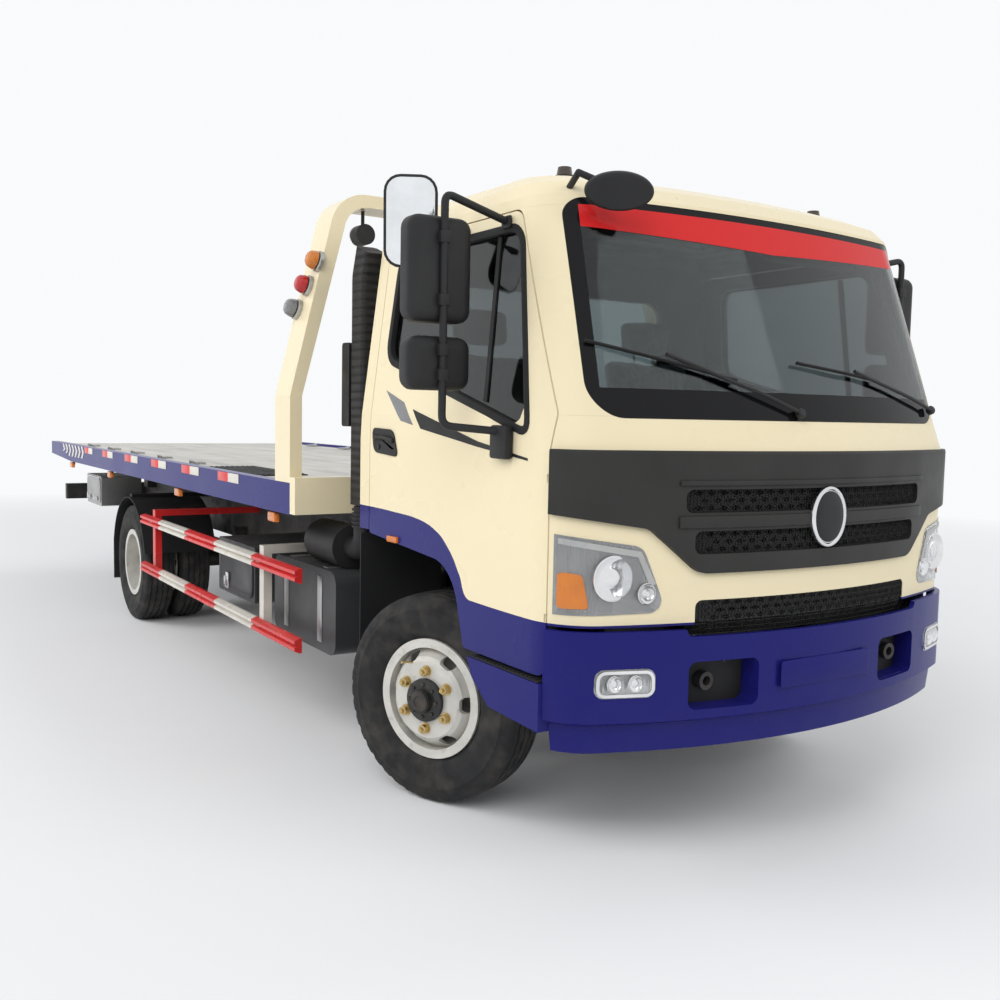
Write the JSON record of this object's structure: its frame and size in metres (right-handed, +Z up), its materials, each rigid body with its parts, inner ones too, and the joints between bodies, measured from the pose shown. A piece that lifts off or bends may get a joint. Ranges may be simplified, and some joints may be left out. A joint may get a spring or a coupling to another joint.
{
  "type": "flatbed tow truck",
  "caption": "Cab-over flatbed tow truck with a tilting cab, opening doors, steered front wheels, twin rear wheels and a deck that tilts and slides back",
  "frame": {"origin": "middle of the bounding box, on the ground", "axes": "+X forward, +Y to the truck's left, +Z up"},
  "size_m": [7.66, 2.532, 2.4499],
  "materials": {
    "cream_paint": "gloss cab paint",
    "blue_paint": "gloss paint",
    "dark_trim": "satin moulded plastic",
    "frame_black": "semi-gloss chassis paint",
    "rod_chrome": "polished plating",
    "box_steel": "satin paint",
    "guard_paint": "gloss paint in red and white bands",
    "deck_grey": "worn grey deck paint",
    "wheel_silver": "silver wheel paint",
    "tyre_rubber": "matt rubber",
    "window_glass": "clear safety glass",
    "lamp_lens": "clear and coloured lenses",
    "seat_cloth": "woven cloth"
  },
  "bodies": {
    "chassis": {"chassis_frame": "frame_black", "tow_sockets": "frame_black", "front_axle": "frame_black", "rear_axle": "frame_black", "leaf_springs": "frame_black", "driveline": "frame_black", "subframe": "frame_black", "frame_boxes": "box_steel", "exhaust": "frame_black", "air_cleaner": "dark_trim", "side_guards": "guard_paint", "mudguards": "dark_trim", "control_boxes": "box_steel", "chassis_lamps": "lamp_lens", "bumper": "blue_paint", "step_skirts": "blue_paint", "oil_tank": "dark_trim"},
    "cab": {"cab_roof": "cream_paint", "cab_back": "cream_paint", "cab_pillars": "cream_paint", "cab_front": "cream_paint", "cab_floor": "cream_paint", "cab_glass": "window_glass", "headlamps": "lamp_lens", "grille": "dark_trim", "grille_mesh": "dark_trim", "roof_lamps": "lamp_lens", "dashboard": "dark_trim", "seats": "seat_cloth", "snorkel": "dark_trim", "front_mirror": "dark_trim"},
    "door_left": {"door_left": "cream_paint", "door_glass_left": "window_glass", "mirror_left": "dark_trim"},
    "door_right": {"door_right": "cream_paint", "door_glass_right": "window_glass", "mirror_right": "dark_trim"},
    "knuckle_left": {"knuckle_left": "frame_black"},
    "knuckle_right": {"knuckle_right": "frame_black"},
    "tie_rod": {"tie_rod": "frame_black"},
    "wheel_front_left": {"front_wheel_left": "wheel_silver", "front_tyre_left": "tyre_rubber"},
    "wheel_front_right": {"front_wheel_right": "wheel_silver", "front_tyre_right": "tyre_rubber"},
    "wheels_rear_left": {"rear_wheels_left": "wheel_silver", "rear_tyres_left": "tyre_rubber"},
    "wheels_rear_right": {"rear_wheels_right": "wheel_silver", "rear_tyres_right": "tyre_rubber"},
    "tilt_frame": {"tilt_frame": "frame_black"},
    "tilt_barrels": {"tilt_barrels": "frame_black"},
    "tilt_rods": {"tilt_rods": "rod_chrome"},
    "deck": {"deck_rails": "blue_paint", "deck_floor": "deck_grey", "deck_front": "cream_paint", "deck_frame": "frame_black", "hoop": "cream_paint", "hoop_lamps": "lamp_lens", "winch": "frame_black"}
  },
  "joints": [
    {"name": "steer_left", "type": "hinge", "parent": "chassis", "child": "knuckle_left", "pos_m": [2.64, 0.735, 0.404], "axis": [0, 0, 1], "range_deg": [-58, 12]},
    {"name": "steer_right", "type": "hinge", "parent": "chassis", "child": "knuckle_right", "pos_m": [2.64, -0.735, 0.404], "axis": [0, 0, 1], "range_deg": [-58, 12]},
    {"name": "tie_rod_swing", "type": "hinge", "parent": "knuckle_left", "child": "tie_rod", "pos_m": [2.48812, 0.67053, 0.273], "axis": [0, 0, 1], "range_deg": [-12, 58]},
    {"name": "spin_front_left", "type": "hinge", "parent": "knuckle_left", "child": "wheel_front_left", "pos_m": [2.59507, 0.84086, 0.404], "axis": [-0.3907, 0.9205, 0], "continuous": true},
    {"name": "spin_front_right", "type": "hinge", "parent": "knuckle_right", "child": "wheel_front_right", "pos_m": [2.68493, -0.84086, 0.404], "axis": [-0.3907, 0.9205, 0], "continuous": true},
    {"name": "spin_rear_left", "type": "hinge", "parent": "chassis", "child": "wheels_rear_left", "pos_m": [-1.41, 0.8235, 0.404], "axis": [0, 1, 0], "continuous": true},
    {"name": "spin_rear_right", "type": "hinge", "parent": "chassis", "child": "wheels_rear_right", "pos_m": [-1.41, -0.8235, 0.404], "axis": [0, 1, 0], "continuous": true},
    {"name": "cab_tilt", "type": "hinge", "parent": "chassis", "child": "cab", "pos_m": [3.67, 0, 0.88], "axis": [0, 1, 0], "range_deg": [0, 45]},
    {"name": "door_left_swing", "type": "hinge", "parent": "cab", "child": "door_left", "pos_m": [3.512, 0.9466, 1.08], "axis": [0, 0, -1], "range_deg": [0, 70]},
    {"name": "door_right_swing", "type": "hinge", "parent": "cab", "child": "door_right", "pos_m": [3.512, -0.9466, 1.08], "axis": [0, 0, 1], "range_deg": [0, 70]},
    {"name": "deck_tilt", "type": "hinge", "parent": "chassis", "child": "tilt_frame", "pos_m": [-3.21, 0, 0.93], "axis": [0, -1, 0], "range_deg": [0, 15.5]},
    {"name": "deck_slide", "type": "slide", "parent": "tilt_frame", "child": "deck", "axis": [-1, 0, 0], "range_m": [0, 3.3]},
    {"name": "barrel_swing", "type": "hinge", "parent": "chassis", "child": "tilt_barrels", "pos_m": [-0.56, 0, 0.66], "axis": [0, -1, 0], "range_deg": [0, 34]},
    {"name": "rod_slide", "type": "slide", "parent": "tilt_barrels", "child": "tilt_rods", "axis": [0.9891, 0, 0.147], "range_m": [0, 0.376]}
  ],
  "couplings": [
    {"joint": "steer_right", "follows": "steer_left", "ratio": 1},
    {"joint": "tie_rod_swing", "follows": "steer_left", "ratio": -1},
    {"joint": "barrel_swing", "follows": "deck_tilt", "ratio": 2.1673},
    {"joint": "rod_slide", "follows": "deck_tilt", "m_per_rad": 1.3876}
  ]
}
